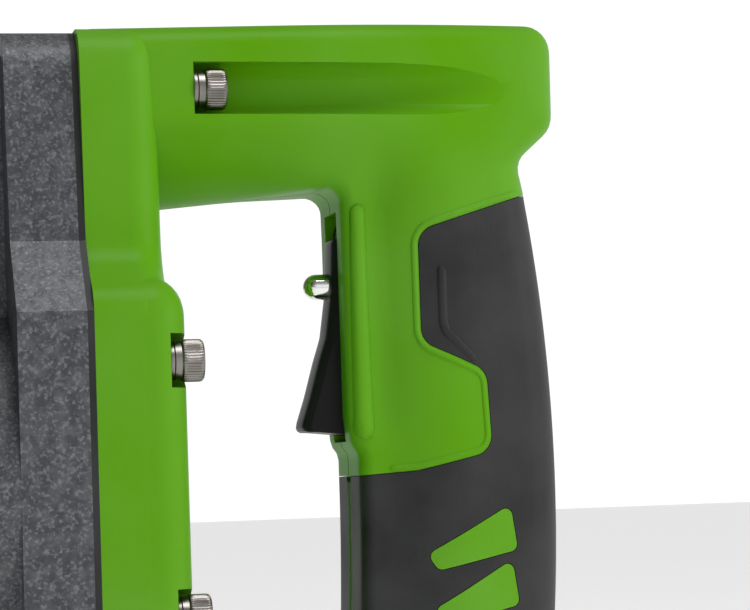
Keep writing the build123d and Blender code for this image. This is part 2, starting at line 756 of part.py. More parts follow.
with BuildPart() as magazine_rail:
    with BuildSketch(Plane.XY.offset(mag_low_z)):
        with Locations(((rail_x0 + rail_x1) / 2, 0)):
            Rectangle(rail_x1 - rail_x0, 2 * rail_half_y)
    extrude(amount=-mag_low_z - 1.2)
save(magazine_rail, "magazine_rail")

with BuildPart() as drawer_cap:
    with BuildSketch(Plane.XY.offset(mag_low_z - 6)):
        with Locations((mid_x, 0)):
            RectangleRounded(mag_in_x1 - mag_in_x0 + 2 * mag_wall - 1, 2 * (mag_in_y + mag_wall) - 1, 1.5)
    extrude(amount=5.8)
    with BuildSketch(Plane.XY.offset(mag_low_z - 0.2)):
        with Locations((mid_x, 0)):
            Rectangle(mag_in_x1 - mag_in_x0 - 0.6, 2 * mag_in_y - 0.6)
    extrude(amount=2)
    with BuildSketch(Plane.XY.offset(mag_low_z - 0.2)):
        with Locations(((rail_x0 + rail_x1) / 2, 0)):
            Rectangle(rail_x1 - rail_x0, 2 * rail_half_y)
    extrude(amount=2, mode=Mode.SUBTRACT)
    with BuildSketch(Plane.XY.offset(mag_low_z - 0.2)):
        with Locations(((rail_x0 + rail_x1) / 2, 0)):
            Rectangle(rail_x1 - rail_x0, 2 * rail_half_y)
    extrude(amount=0.2)
save(drawer_cap, "drawer_cap")

with BuildPart() as staple_strip:
    with BuildSketch(Plane.XY.offset(strip_low_z)):
        with Locations((17.4, 0)):
            Rectangle(25, 2 * 6.5)
        with Locations((16.1, 0)):
            Rectangle(25, 2 * 5.4, mode=Mode.SUBTRACT)
    extrude(amount=-strip_low_z - 0.9)
save(staple_strip, "staple_strip")

with BuildPart() as pusher:
    with BuildSketch(Plane.XY.offset(strip_low_z - 12.2)):
        with Locations(((rail_x1 + 0.3 + 29.9) / 2, 0)):
            Rectangle(29.9 - rail_x1 - 0.3, 2 * 6.4)
    extrude(amount=12)
    fillet(pusher.edges().filter_by(Axis.Z), 0.8)
save(pusher, "pusher")

save(coil((24.2, 0, mag_low_z + 2), (0, 0, 1), strip_low_z - 12.4 - mag_low_z - 2, 4.0, 0.5, 6),
     "pusher_spring")

with BuildPart() as magazine_latch:
    with BuildSketch(Plane.XZ):
        with BuildLine():
            x = mag_in_x1 + mag_wall
            Polyline((x + 1, -76.5), (x + 2.4, -72), (x + 4.4, -67.5), (x + 6.4, -66), (x + 7, -72),
                     (x + 6, -88), (x + 4, -95), (x + 1.5, -95), (x + 1.5, -84), (x + 2.2, -80), close=True)
        make_face()
        with Locations((latch_x, latch_z)):
            Circle(1.55, mode=Mode.SUBTRACT)
    extrude(amount=4, both=True)
save(magazine_latch, "magazine_latch")

with BuildPart() as latch_pin:
    with BuildSketch(Plane.XZ.offset(-6.5)):
        with Locations((latch_x, latch_z)):
            Circle(1.5)
    extrude(amount=13)
save(latch_pin, "latch_pin")

with BuildPart() as magazine_brace:
    x = mag_in_x1 + mag_wall
    with BuildSketch(Plane.XZ):
        with BuildLine():
            Polyline((x, -62), (x, -46), (x + 5, -46), (x + 9, -53), (168, -56), (168, -66), (x + 9, -62),
                     close=True)
        make_face()
        with Locations((160, -61)):
            Circle(2.5, mode=Mode.SUBTRACT)
    extrude(amount=5, both=True)
    with BuildSketch(Plane.YZ.offset(x)):
        with Locations((0, -54)):
            Rectangle(19, 16)
    extrude(amount=3)
    with BuildSketch(Plane.YZ.offset(x)):
        with Locations((7.6, -50), (-7.6, -58), (7.6, -58), (-7.6, -50)):
            Circle(1.25)
    extrude(amount=3, mode=Mode.SUBTRACT)
save(magazine_brace, "magazine_brace")

with BuildPart() as brace_screws:
    with BuildSketch(Plane.XZ.offset(-16)):
        with Locations((160, -61)):
            Circle(2.5)
    extrude(amount=32)
    with BuildSketch(Plane.XZ.offset(16)):
        with Locations((160, -61)):
            Circle(4.4)
    extrude(amount=3)
    with BuildSketch(Plane.XZ.offset(-19)):
        with Locations((160, -61)):
            Circle(4.4)
    extrude(amount=3)
save(brace_screws, "brace_screws")

with BuildPart() as brace_rivets:
    x = mag_in_x1 + mag_wall
    with BuildSketch(Plane.YZ.offset(x)):
        with Locations((7.6, -50), (-7.6, -58), (7.6, -58), (-7.6, -50)):
            Circle(1.25)
    extrude(amount=3)
    with BuildSketch(Plane.YZ.offset(x + 3)):
        with Locations((7.6, -50), (-7.6, -58), (7.6, -58), (-7.6, -50)):
            Circle(1.8)
    extrude(amount=1)
save(brace_rivets, "brace_rivets")
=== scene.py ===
import json
import math

import bmesh
import bpy
import numpy as np
from bpy.props import FloatProperty, FloatVectorProperty, IntProperty, PointerProperty
from mathutils import Matrix, Vector
from mathutils.bvhtree import BVHTree

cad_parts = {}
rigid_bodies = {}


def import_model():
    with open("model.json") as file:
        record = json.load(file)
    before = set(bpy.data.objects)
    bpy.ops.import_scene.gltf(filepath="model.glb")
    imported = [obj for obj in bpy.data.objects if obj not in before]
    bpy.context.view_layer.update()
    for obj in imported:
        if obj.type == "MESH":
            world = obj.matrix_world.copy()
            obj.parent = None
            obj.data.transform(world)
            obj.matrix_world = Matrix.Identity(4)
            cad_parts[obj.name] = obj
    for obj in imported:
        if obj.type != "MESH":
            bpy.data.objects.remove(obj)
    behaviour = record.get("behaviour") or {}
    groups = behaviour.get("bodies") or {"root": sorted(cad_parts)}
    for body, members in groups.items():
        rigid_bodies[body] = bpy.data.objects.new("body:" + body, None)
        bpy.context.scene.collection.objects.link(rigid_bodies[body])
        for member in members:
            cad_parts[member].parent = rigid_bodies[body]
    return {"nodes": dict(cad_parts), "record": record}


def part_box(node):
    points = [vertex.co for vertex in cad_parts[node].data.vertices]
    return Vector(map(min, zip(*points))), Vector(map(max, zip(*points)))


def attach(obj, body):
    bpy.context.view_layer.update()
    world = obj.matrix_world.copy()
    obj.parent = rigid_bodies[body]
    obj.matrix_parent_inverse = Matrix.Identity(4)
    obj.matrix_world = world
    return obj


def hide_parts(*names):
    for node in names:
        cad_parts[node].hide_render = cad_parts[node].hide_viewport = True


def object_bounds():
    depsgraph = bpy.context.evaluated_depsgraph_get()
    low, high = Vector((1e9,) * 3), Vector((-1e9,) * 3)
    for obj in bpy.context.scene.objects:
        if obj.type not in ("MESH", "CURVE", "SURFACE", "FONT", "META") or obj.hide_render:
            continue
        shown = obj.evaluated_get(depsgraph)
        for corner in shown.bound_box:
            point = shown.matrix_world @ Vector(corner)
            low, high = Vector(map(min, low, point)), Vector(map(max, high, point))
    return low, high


bl_info = {
    "name": "Inline Staple Gun",
    "version": (1, 0, 0),
    "blender": (4, 5, 0),
    "location": "View3D > Sidebar > Staple Gun",
    "description": "Finished skins, screws and trim for a heavy electric staple gun with a D-handle",
    "category": "Object",
}

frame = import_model()
CAD_LOW, CAD_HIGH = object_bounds()
MM = 0.001

# Places read from the frame, in metres
JOINT_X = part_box("handle_shell_left")[0].x
BUTTON_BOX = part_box("lock_button")
FLOOR_Z = CAD_LOW.z
NODE_SLOTS = {row["node"]: row["material_slot"] for row in frame["record"]["subparts"]}


# ---------------------------------------------------------------- shader maths
class Value:
    """A number socket that adds its Math nodes when it is used in an expression."""

    def __init__(self, maker, socket):
        self.maker = maker
        self.socket = socket

    def math(self, operation, *others):
        node = self.maker.nodes.new("ShaderNodeMath")
        node.operation = operation
        for place, item in enumerate((self, *others)):
            self.maker.feed(node.inputs[place], item)
        return Value(self.maker, node.outputs[0])

    def __add__(self, other):
        return self.math("ADD", other)

    __radd__ = __add__

    def __mul__(self, other):
        return self.math("MULTIPLY", other)

    __rmul__ = __mul__

    def __sub__(self, other):
        return self.math("SUBTRACT", other)

    def __rsub__(self, other):
        return (self * -1) + other

    def __truediv__(self, other):
        return self.math("DIVIDE", other)


class Shade:
    """Adds nodes to a shader tree."""

    def __init__(self, tree):
        self.tree = tree
        self.nodes = tree.nodes

    def feed(self, socket, item):
        if isinstance(item, Value):
            item = item.socket
        if isinstance(item, bpy.types.NodeSocket):
            self.tree.links.new(item, socket)
        else:
            socket.default_value = item

    def node(self, kind, settings=None, **sockets):
        made = self.nodes.new(kind)
        for key, item in (settings or {}).items():
            if key == "ramp":
                ramp = made.color_ramp
                while len(ramp.elements) < len(item):
                    ramp.elements.new(1.0)
                for element, (stop, shade) in zip(ramp.elements, item):
                    element.position = stop
                    element.color = shade
            else:
                setattr(made, key, item)
        for key, item in sockets.items():
            self.feed(made.inputs[key.replace("_", " ")], item)
        return made

    def ramp(self, fac, low, high):
        made = self.node("ShaderNodeMapRange", {"clamp": True}, Value=fac, From_Min=low, From_Max=high)
        return Value(self, made.outputs[0])


class Finish(Shade):
    """Builds one material: a Principled shader and the nodes that vary it."""

    def __init__(self, name):
        self.material = bpy.data.materials.new(name)
        self.material.use_nodes = True
        super().__init__(self.material.node_tree)
        self.shader = self.nodes["Principled BSDF"]
        self.place = self.node("ShaderNodeTexCoord").outputs["Object"]

    def noise(self, scale, detail=2.0, roughness=0.5, vector=None):
        made = self.node("ShaderNodeTexNoise", Vector=vector or self.place, Scale=scale, Detail=detail,
                         Roughness=roughness)
        return Value(self, made.outputs[0])

    def cells(self, scale, feature="F1", vector=None):
        made = self.node("ShaderNodeTexVoronoi", {"feature": feature},
                         Vector=vector or self.place, Scale=scale)
        return Value(self, made.outputs["Distance"])

    def stretch(self, scale):
        made = self.node("ShaderNodeMapping", Vector=self.place, Scale=scale)
        return made.outputs[0]

    def blend(self, fac, first, second):
        made = self.nodes.new("ShaderNodeMix")
        made.data_type = "RGBA"
        colours = [s for s in made.inputs if s.type == "RGBA"]
        self.feed(made.inputs[0], fac)
        for socket, item in zip(colours, (first, second)):
            self.feed(socket, (*item, 1.0) if isinstance(item, tuple) and len(item) == 3 else item)
        return [s for s in made.outputs if s.type == "RGBA"][0]

    def bump(self, height, distance, strength=1.0, below=None):
        sockets = {"Height": height, "Distance": distance, "Strength": strength}
        if below is not None:
            sockets["Normal"] = below
        return self.node("ShaderNodeBump", **sockets).outputs[0]

    def set(self, **sockets):
        for key, item in sockets.items():
            self.feed(self.shader.inputs[key.replace("_", " ")], item)
        return self.material


def pale(colour, lift):
    """A colour moved towards white by a share."""
    return tuple(c + (1 - c) * lift for c in colour)


def deep(colour, share):
    return tuple(c * share for c in colour)


def moulded_plastic(name, colour, roughness=0.38, grain=1.0):
    """Injection-moulded plastic: a fine spark-eroded grain and slow colour drift."""
    f = Finish(name)
    grain_cells = f.noise(2600, 3.0)
    drift = f.noise(24, 2.0)
    tint = f.blend(f.ramp(drift, 0.35, 0.65), deep(colour, 0.94), pale(colour, 0.03))
    speck = f.blend(f.ramp(grain_cells, 0.3, 0.7), deep(colour, 0.95), colour)
    shade = f.blend(0.35, tint, speck)
    normal = f.bump(grain_cells, 0.00006 * grain, 0.35)
    return f.set(Base_Color=shade, Roughness=f.ramp(drift, 0.2, 0.8) * 0.08 + (roughness - 0.04),
                 Normal=normal, Specular_IOR_Level=0.07)


def soft_rubber(name, colour):
    """Soft-touch overmould: matt, with a very fine pebble and a dusty sheen."""
    f = Finish(name)
    pebble = f.cells(1900)
    fine = f.noise(4200, 2.0)
    patch = f.noise(60, 3.0)
    shade = f.blend(f.ramp(patch, 0.3, 0.7), deep(colour, 0.85), pale(colour, 0.02))
    normal = f.bump(pebble * 0.6 + fine * 0.5, 0.00008, 0.5)
    return f.set(Base_Color=shade, Roughness=f.ramp(patch, 0.3, 0.7) * 0.1 + 0.48, Normal=normal,
                 Specular_IOR_Level=0.35)


def hammertone(name, colour):
    """Hammertone paint on a rough casting: light flecks in a dark ground over pitted skin."""
    f = Finish(name)
    flecks = f.noise(1500, 3.0)
    dimples = f.cells(700, "SMOOTH_F1")
    rough_cast = f.noise(420, 4.0)
    light = f.ramp(flecks, 0.5, 0.72)
    shade = f.blend(light * 0.6, deep(colour, 0.6), pale(colour, 0.2))
    shade = f.blend(f.ramp(rough_cast, 0.4, 0.75) * 0.3, shade, pale(colour, 0.18))
    normal = f.bump(dimples, 0.00022, 0.5, f.bump(rough_cast, 0.0005, 0.35))
    return f.set(Base_Color=shade, Roughness=f.ramp(flecks, 0.1, 0.5) * 0.2 + 0.3,
                 Metallic=0.25, Normal=normal)


def worn_steel(name, colour, roughness=0.32, across=(900, 60, 900)):
    """Turned or drawn steel: fine lines, smoky stains and rubbed spots."""
    f = Finish(name)
    lines = f.noise(1.0, 3.0, vector=f.stretch(across))
    stain = f.noise(90, 4.0)
    shade = f.blend(f.ramp(stain, 0.35, 0.7), deep(colour, 0.7), pale(colour, 0.08))
    normal = f.bump(lines, 0.00005, 0.4)
    return f.set(Base_Color=shade, Metallic=1.0, Roughness=f.ramp(stain, 0.3, 0.7) * 0.18 + (roughness - 0.06),
                 Normal=normal)


def bright_plate(name, colour):
    """Chrome plate with faint polishing haze."""
    f = Finish(name)
    haze = f.noise(300, 2.0)
    return f.set(Base_Color=f.blend(haze, deep(colour, 0.92), colour), Metallic=1.0,
                 Roughness=f.ramp(haze, 0.3, 0.7) * 0.05 + 0.05)


def black_oxide(name, colour):
    """Phosphated sheet: dark, satin, slightly mottled, paler where it is handled."""
    f = Finish(name)
    mottle = f.noise(220, 4.0)
    fine = f.noise(1500, 2.0)
    shade = f.blend(f.ramp(mottle, 0.35, 0.7), deep(colour, 0.7), pale(colour, 0.08))
    return f.set(Base_Color=shade, Metallic=0.8, Roughness=f.ramp(fine, 0.3, 0.7) * 0.15 + 0.36,
                 Normal=f.bump(fine, 0.00004, 0.4))


def wound_wire(name, colour):
    """Enamelled winding: close turns along the coil."""
    f = Finish(name)
    turns = f.node("ShaderNodeTexWave", {"bands_direction": "X"}, Vector=f.place, Scale=420.0, Distortion=0.6)
    band = Value(f, turns.outputs["Fac"])
    return f.set(Base_Color=f.blend(band, deep(colour, 0.45), colour), Metallic=0.7, Roughness=0.3,
                 Normal=f.bump(band, 0.0003, 0.8))


def circuit_board(name, colour):
    f = Finish(name)
    tracks = f.cells(260, "DISTANCE_TO_EDGE")
    shade = f.blend(f.ramp(tracks, 0.02, 0.08), pale(colour, 0.2), colour)
    return f.set(Base_Color=shade, Roughness=0.35)


# ---------------------------------------------------------------- mesh helpers
def closed_mesh(name, bm, smooth_below=32.0):
    """Turns a bmesh into an object with outward faces and sharp edges by angle."""
    bmesh.ops.remove_doubles(bm, verts=bm.verts, dist=2e-6)
    bmesh.ops.recalc_face_normals(bm, faces=bm.faces)
    for face in bm.faces:
        face.smooth = True
    limit = math.radians(smooth_below)
    for edge in bm.edges:
        edge.smooth = len(edge.link_faces) == 2 and edge.calc_face_angle(0.0) < limit
    mesh = bpy.data.meshes.new(name)
    bm.to_mesh(mesh)
    bm.free()
    made = bpy.data.objects.new(name, mesh)
    bpy.context.scene.collection.objects.link(made)
    return made


def resharpen(made, smooth_below=32.0):
    bm = bmesh.new()
    bm.from_mesh(made.data)
    limit = math.radians(smooth_below)
    for face in bm.faces:
        face.smooth = True
    for edge in bm.edges:
        edge.smooth = len(edge.link_faces) == 2 and edge.calc_face_angle(0.0) < limit
    bm.to_mesh(made.data)
    bm.free()


def rounded(points, radii, steps=6):
    """A closed outline with its corners rounded; a radius of 0 keeps a corner."""
    out = []
    count = len(points)
    for i, here in enumerate(points):
        radius = radii[i] if isinstance(radii, (list, tuple)) else radii
        here = Vector(here)
        if radius <= 0:
            out.append(tuple(here))
            continue
        before = (Vector(points[i - 1]) - here).normalized()
        after = (Vector(points[(i + 1) % count]) - here).normalized()
        half = before.angle(after) / 2
        reach = radius / math.tan(half)
        centre = here + (before + after).normalized() * radius / math.sin(half)
        first, last = here + before * reach - centre, here + after * reach - centre
        sweep = first.angle_signed(last)
        for k in range(steps + 1):
            turn = Matrix.Rotation(-sweep * k / steps, 2)
            out.append(tuple(centre + turn @ first))
    return out


def offset(points, distance):
    """A closed outline moved inwards along its corner bisectors."""
    area = sum(a[0] * b[1] - b[0] * a[1] for a, b in zip(points, points[1:] + points[:1]))
    turn = 1 if area > 0 else -1
    out = []
    for i, here in enumerate(points):
        before = (Vector(here) - Vector(points[i - 1])).normalized()
        after = (Vector(points[(i + 1) % len(points)]) - Vector(here)).normalized()
        normal = Vector((-before.y - after.y, before.x + after.x)) * turn
        normal.normalize()
        share = max(0.5, normal.dot(Vector((-after.y, after.x)) * turn))
        out.append(tuple(Vector(here) + normal * distance / share))
    return out


def stack(name, layers, closed=True):
    """A closed solid from rings with the same number of points."""
    bm = bmesh.new()
    rings = [[bm.verts.new(p) for p in layer] for layer in layers]
    for low, high in zip(rings, rings[1:]):
        for i in range(len(low)):
            j = (i + 1) % len(low)
            bm.faces.new((low[i], low[j], high[j], high[i]))
    bm.faces.new(rings[0])
    bm.faces.new(list(reversed(rings[-1])))
    return closed_mesh(name, bm)


def side_prism(name, outline, y0, y1):
    """A prism across the tool from a side view outline."""
    return stack(name, [[(x, y, z) for x, z in outline] for y in (y0, y1)])


def rod(name, start, end, radius, sides=48):
    """A plain round cutter between two points."""
    start, end = Vector(start), Vector(end)
    across = (end - start).to_track_quat("Z", "Y").to_matrix()
    ring = [across @ Vector((radius * math.cos(math.tau * k / sides), radius * math.sin(math.tau * k / sides), 0))
            for k in range(sides)]
    return stack(name, [[start + p for p in ring], [end + p for p in ring]])


def carve(made, cutter, operation="DIFFERENCE", keep=False):
    """Applies one exact boolean and removes its cutter."""
    step = made.modifiers.new("carve", "BOOLEAN")
    step.operation = operation
    step.solver = "EXACT"
    step.object = cutter
    settle(made)
    if not keep:
        bpy.data.objects.remove(cutter, do_unlink=True)
    return made


def settle(made):
    """Turns an object's modifiers into plain mesh."""
    bpy.context.view_layer.update()
    ready = bpy.data.meshes.new_from_object(made.evaluated_get(bpy.context.evaluated_depsgraph_get()))
    made.modifiers.clear()
    made.data = ready
    return made


def copy_of(made, name):
    twin = made.copy()
    twin.data = made.data.copy()
    twin.name = name
    bpy.context.scene.collection.objects.link(twin)
    return twin


def mirrored(made, name):
    """The other half of a left and right pair, with its faces turned outwards again."""
    twin = copy_of(made, name)
    bm = bmesh.new()
    bm.from_mesh(twin.data)
    for vert in bm.verts:
        vert.co.y = -vert.co.y
    bmesh.ops.reverse_faces(bm, faces=bm.faces)
    bm.to_mesh(twin.data)
    bm.free()
    return twin


def joined(name, parts):
    """One object from several closed meshes."""
    bm = bmesh.new()
    for part in parts:
        bm.from_mesh(part.data)
        bpy.data.objects.remove(part, do_unlink=True)
    mesh = bpy.data.meshes.new(name)
    bm.to_mesh(mesh)
    bm.free()
    made = bpy.data.objects.new(name, mesh)
    bpy.context.scene.collection.objects.link(made)
    return made


def piece(made, body, slot, finish, *nodes):
    """Gives a piece its finish and body and hides the nodes it stands for; the slot argument is not used."""
    made.data.materials.clear()
    made.data.materials.append(finish)
    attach(made, body)
    if nodes:
        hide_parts(*nodes)
    return made


# ---------------------------------------------------------------- the handle's surface
def at(x, z):
    """A side view place given in millimetres behind the joint, in metres."""
    return (JOINT_X + x * MM, z * MM)


def arc_through(first, middle, last, count):
    """Points on the circle through three places."""
    (ax, ay), (bx, by), (cx, cy) = first, middle, last
    d = 2 * (ax * (by - cy) + bx * (cy - ay) + cx * (ay - by))
    ux = ((ax**2 + ay**2) * (by - cy) + (bx**2 + by**2) * (cy - ay) + (cx**2 + cy**2) * (ay - by)) / d
    uy = ((ax**2 + ay**2) * (cx - bx) + (bx**2 + by**2) * (ax - cx) + (cx**2 + cy**2) * (bx - ax)) / d
    a0 = math.atan2(ay - uy, ax - ux)
    a1 = math.atan2(cy - uy, cx - ux)
    if a1 - a0 > math.pi:
        a1 -= math.tau
    if a0 - a1 > math.pi:
        a1 += math.tau
    r = math.hypot(ax - ux, ay - uy)
    return [(ux + r * math.cos(a0 + (a1 - a0) * k / count), uy + r * math.sin(a0 + (a1 - a0) * k / count))
            for k in range(count + 1)]


def evenly(path, count):
    """The same path with evenly spaced points."""
    path = np.array(path)
    run = np.concatenate([[0], np.cumsum(np.hypot(*np.diff(path, axis=0).T))])
    where = np.linspace(0, run[-1], count + 1)
    return np.column_stack([np.interp(where, run, path[:, k]) for k in (0, 1)])


def half_width(x):
    """Half of the handle's width seen from above, x in millimetres behind the joint."""
    table = np.array(PLAN_ARC)
    return np.interp(x, table[:, 0], table[:, 1])


PLAN_ARC = [(-2, 22.8), *arc_through((44, 20.6), (93, 12.97), (112, 7.0), 40)]


def outline_quarter(rise):
    """Matching outer and inner side view paths from a beam's root to the middle of the grip."""
    rear = [p for p in arc_through((96.9, 68.6), (103.6, 0), (96.9, -68.6), 120)[:61] if p[1] < 62]
    corner = rounded([(60, 96 + rise * 0.56), (105.6, 96 + rise), (105.6, 76), (96.9, 68.6), (98.6, 52)],
                     [0, 5.8, 5.5, 4.5, 0], 10)[:-1]
    outer = [evenly([(3, 96), (60, 96 + rise * 0.56)], 30), evenly(corner + rear[:1], 60), evenly(rear, 34)]
    turn = rounded([(49, 62.4), (56.1, 63.0), (56.25, 54)], [0, 3.6, 0], 12)
    front = [(56.25, z) for z in range(53, 11, -3)] if rise else []
    front += [(56.7, 9), (57.2, 7.4), (58.1, 6.2), (58.4, 4.8), (58.4, 0)] if rise else \
        [p for p in arc_through((56.2, 56), (58.4, 0), (56.2, -56), 120)[:61] if p[1] < 54]
    inner = [evenly([(3, 58.2), (49, 62.4)], 30), evenly(turn[:-1] + front[:1], 60), evenly(front, 34)]
    return [np.vstack([runs[0], runs[1][1:], runs[2][1:]]) for runs in (outer, inner)]


def handle_outlines():
    """Outer and inner paths of the whole D; only the upper beam rises to the rear."""
    upper, lower = outline_quarter(BEAM_RISE), outline_quarter(0.0)
    flip = np.array([1, -1])
    return [np.vstack([high, (low * flip)[::-1][1:]]) for high, low in zip(upper, lower)]


def side_width(points):
    """Half width at side view places: the beams follow the plan, the grip between them is slimmer."""
    x, z = points[:, 0], np.abs(points[:, 1])
    beam = half_width(x)
    valley = 1.1 * np.exp(-(((x - 63.6) / 3.2) ** 2)) * smooth_step(points[:, 1], 6, 16)
    grip = 13.6 + 2.5 * smooth_step(x, 62, 77) - 7.6 * smooth_step(x, 82, 112) - valley
    grip = np.minimum(grip, beam)
    return grip + (beam - grip) * smooth_step(z, 58, 77)


def nearest(points, path):
    """Distance from each point to a path of straight runs."""
    best = np.full(len(points), 1e9)
    for a, b in zip(path, path[1:]):
        run = b - a
        share = np.clip(((points - a) @ run) / max(run @ run, 1e-12), 0, 1)
        best = np.minimum(best, np.hypot(*(points - a - share[:, None] * run).T))
    return best


def fall(distance, radius):
    """How far a rounded edge has dropped at a distance from the outline."""
    left = np.clip(radius - distance, 0, radius)
    return radius - np.sqrt(radius**2 - left**2)


def smooth_step(value, low, high):
    t = np.clip((value - low) / (high - low), 0, 1)
    return t * t * (3 - 2 * t)


def handle_half():
    """The left half of the D as one closed grid: crowned sides, rounded edges and a fine groove at the seam."""
    outer, inner = handle_outlines()
    count = len(outer)
    in_grip = 1 - smooth_step(np.abs(inner[:, 1]), 50, 61)
    outer_r = 5.2 + 2.2 * in_grip
    inner_r = 13.5 - 10.5 * smooth_step(inner[:, 0], 30, 56.4)
    turn = np.linspace(0, 1, 9)[1:] * math.pi / 2
    edge = 1 - np.cos(turn)
    bm = bmesh.new()
    rows = []

    def row(points, height):
        rows.append([bm.verts.new((JOINT_X + p[0] * MM, -h * MM, p[1] * MM)) for p, h in zip(points, height)])

    span = np.hypot(*(inner - outer).T)[:, None]
    towards = (inner - outer) / span
    top = side_width(outer) - np.minimum(outer_r, side_width(outer) - 1.2)
    low = side_width(inner) - inner_r
    row(outer + towards * SEAM_DEPTH, np.full(count, SEAM_GAP))
    row(outer, np.full(count, SEAM_GAP + SEAM_DEPTH))
    for share in (0.35, 0.7, 1.0):
        row(outer, SEAM_GAP + SEAM_DEPTH + (top - SEAM_GAP - SEAM_DEPTH) * share)
    reach = [outer_r[:, None] * e for e in edge]
    inside = [span - inner_r[:, None] * e for e in edge[::-1]]
    between = [reach[-1] + (inside[0] - reach[-1]) * k / 14 for k in range(1, 14)]
    for distance in reach + between + inside:
        points = outer + towards * distance
        w = side_width(points)
        r_o = np.minimum(outer_r, w - 1.2)
        r_i = np.minimum(inner_r, w - 1.2)
        height = w - fall(nearest(points, outer), r_o) - fall(nearest(points, inner), r_i)
        height += BEAD_HEIGHT * beam_bead(points)
        row(points, np.maximum(height, 1.0))
    for share in (1.0, 0.7, 0.35):
        row(inner, SEAM_GAP + SEAM_DEPTH + (low - SEAM_GAP - SEAM_DEPTH) * share)
    row(inner, np.full(count, SEAM_GAP + SEAM_DEPTH))
    row(inner - towards * SEAM_DEPTH, np.full(count, SEAM_GAP))
    for near, far in zip(rows, rows[1:] + rows[:1]):
        for i in range(count - 1):
            bm.faces.new((near[i], near[i + 1], far[i + 1], far[i]))
    bm.faces.new([r[0] for r in rows])
    bm.faces.new([r[-1] for r in reversed(rows)])
    return closed_mesh("handle_form", bm)


def beam_bead(points):
    """A low swelling along the beams, under the screw grooves."""
    x, z = points[:, 0], np.abs(points[:, 1])
    along = smooth_step(x, 12, 26) * (1 - smooth_step(x, 78, 96))
    return np.exp(-(((z - 75.0) / 2.6) ** 2)) * along


SEAM_GAP = 0.08
SEAM_DEPTH = 0.3
BEAD_HEIGHT = 0.35
BEAM_RISE = 2.4

GAP_LINE = 0.16        # dark line between rubber and shell
RIB_COUNT = 4
RIB_PITCH = 11.7


def rubber_outline():
    outline = [(50, 0.8), (70.4, 2.0), (87, 5.6), (86.2, 22.8), (72, 29.2), (72, 53), (95, 60.2), (112, 65.3),
               (112, -65.3), (95, -60.2), (76, -56), (50, -55)]
    return rounded([at(*p) for p in outline], [0, 0, *[4.5 * MM] * 4, *[0] * 6], 10)


def rib_outline(index):
    drop = index * RIB_PITCH
    points = [(71.6 + index, -15.8 - drop), (90.8, -5.8 - drop),
              (92.2, -15.7 - drop), (74.0 + index, -19.4 - drop)]
    return rounded([at(*p) for p in points], 1.7 * MM, 8)


def loft_prism(name, outline, levels):
    """A prism whose outline shrinks by an amount at each depth."""
    return stack(name, [[(x, y, z) for x, z in offset(outline, inset)] for y, inset in levels])


# ---------------------------------------------------------------- settings shown in the sidebar
class STAPLER_PG_settings(bpy.types.PropertyGroup):
    green: FloatVectorProperty(name="Housing green", description="Colour of the moulded rear housing",
                               subtype="COLOR", default=(0.106, 0.345, 0.002), min=0, max=1)
    black: FloatVectorProperty(name="Rubber black", description="Colour of the overmoulded grip",
                               subtype="COLOR", default=(0.0065, 0.0063, 0.0076), min=0, max=1)
    casting: FloatVectorProperty(name="Casting grey", description="Colour of the hammertone paint",
                                 subtype="COLOR", default=(0.075, 0.082, 0.094), min=0, max=1)
    knurls: IntProperty(name="Knurls", description="Teeth around each screw head", default=40, min=12, max=90)
    knurl_depth: FloatProperty(name="Knurl depth", description="Depth of the knurling on the screw heads",
                               unit="LENGTH", default=0.00016, min=0, max=0.001, precision=5)
    border_width: FloatProperty(name="Border width", description="Width of the raised lip beside the rubber",
                                unit="LENGTH", default=0.0013, min=0.0005, max=0.004, precision=5)
    border_height: FloatProperty(name="Border height", description="Height of the raised lip beside the rubber",
                                 unit="LENGTH", default=0.00035, min=0.0001, max=0.001, precision=5)
    camera_distance: FloatProperty(name="Camera distance", description="From the camera to the point it looks at",
                                   unit="LENGTH", default=0.62, min=0.2, max=5)
    camera_lens: FloatProperty(name="Camera lens", description="Focal length on a 36 mm sensor, in millimetres",
                               default=136.8, min=20, max=400)


FINISH = {}
SKIN = {}


def settings():
    return bpy.context.scene.stapler


class STAPLER_OT_finishes(bpy.types.Operator):
    """Make every finish and give the carried-over nodes theirs"""
    bl_idname = "stapler.finishes"
    bl_label = "Finishes"

    def execute(self, context):
        s = settings()
        FINISH.update(
            green_housing=moulded_plastic("green_housing", tuple(s.green)),
            black_rubber=soft_rubber("black_rubber", tuple(s.black)),
            black_plastic=moulded_plastic("black_plastic", (0.004, 0.0042, 0.0042), 0.34),
            cast_grey=hammertone("cast_grey", tuple(s.casting)),
            screw_steel=worn_steel("screw_steel", (0.25, 0.225, 0.205), 0.3),
            bright_chrome=bright_plate("bright_chrome", (0.82, 0.82, 0.8)),
            tool_steel=worn_steel("tool_steel", (0.42, 0.43, 0.45), 0.28, (60, 900, 900)),
            spring_steel=worn_steel("spring_steel", (0.3, 0.31, 0.33), 0.34, (500, 500, 500)),
            copper_wire=wound_wire("copper_wire", (0.62, 0.24, 0.09)),
            bronze=worn_steel("bronze", (0.55, 0.34, 0.13), 0.42, (700, 700, 700)),
            gasket_rubber=soft_rubber("gasket_rubber", (0.008, 0.008, 0.008)),
            board_green=circuit_board("board_green", (0.01, 0.09, 0.03)),
            bobbin_plastic=moulded_plastic("bobbin_plastic", (0.6, 0.55, 0.42), 0.4),
            magazine_paint=black_oxide("magazine_paint", (0.05, 0.052, 0.056)),
            staple_steel=worn_steel("staple_steel", (0.6, 0.6, 0.6), 0.25, (1200, 60, 60)),
        )
        for node, made in frame["nodes"].items():
            slot = NODE_SLOTS.get(node)
            if slot is None or slot not in FINISH:
                raise RuntimeError("no finish for node " + node)
            for place in made.material_slots:
                place.material = FINISH[slot]
            if not made.material_slots:
                made.data.materials.append(FINISH[slot])
        return {"FINISHED"}


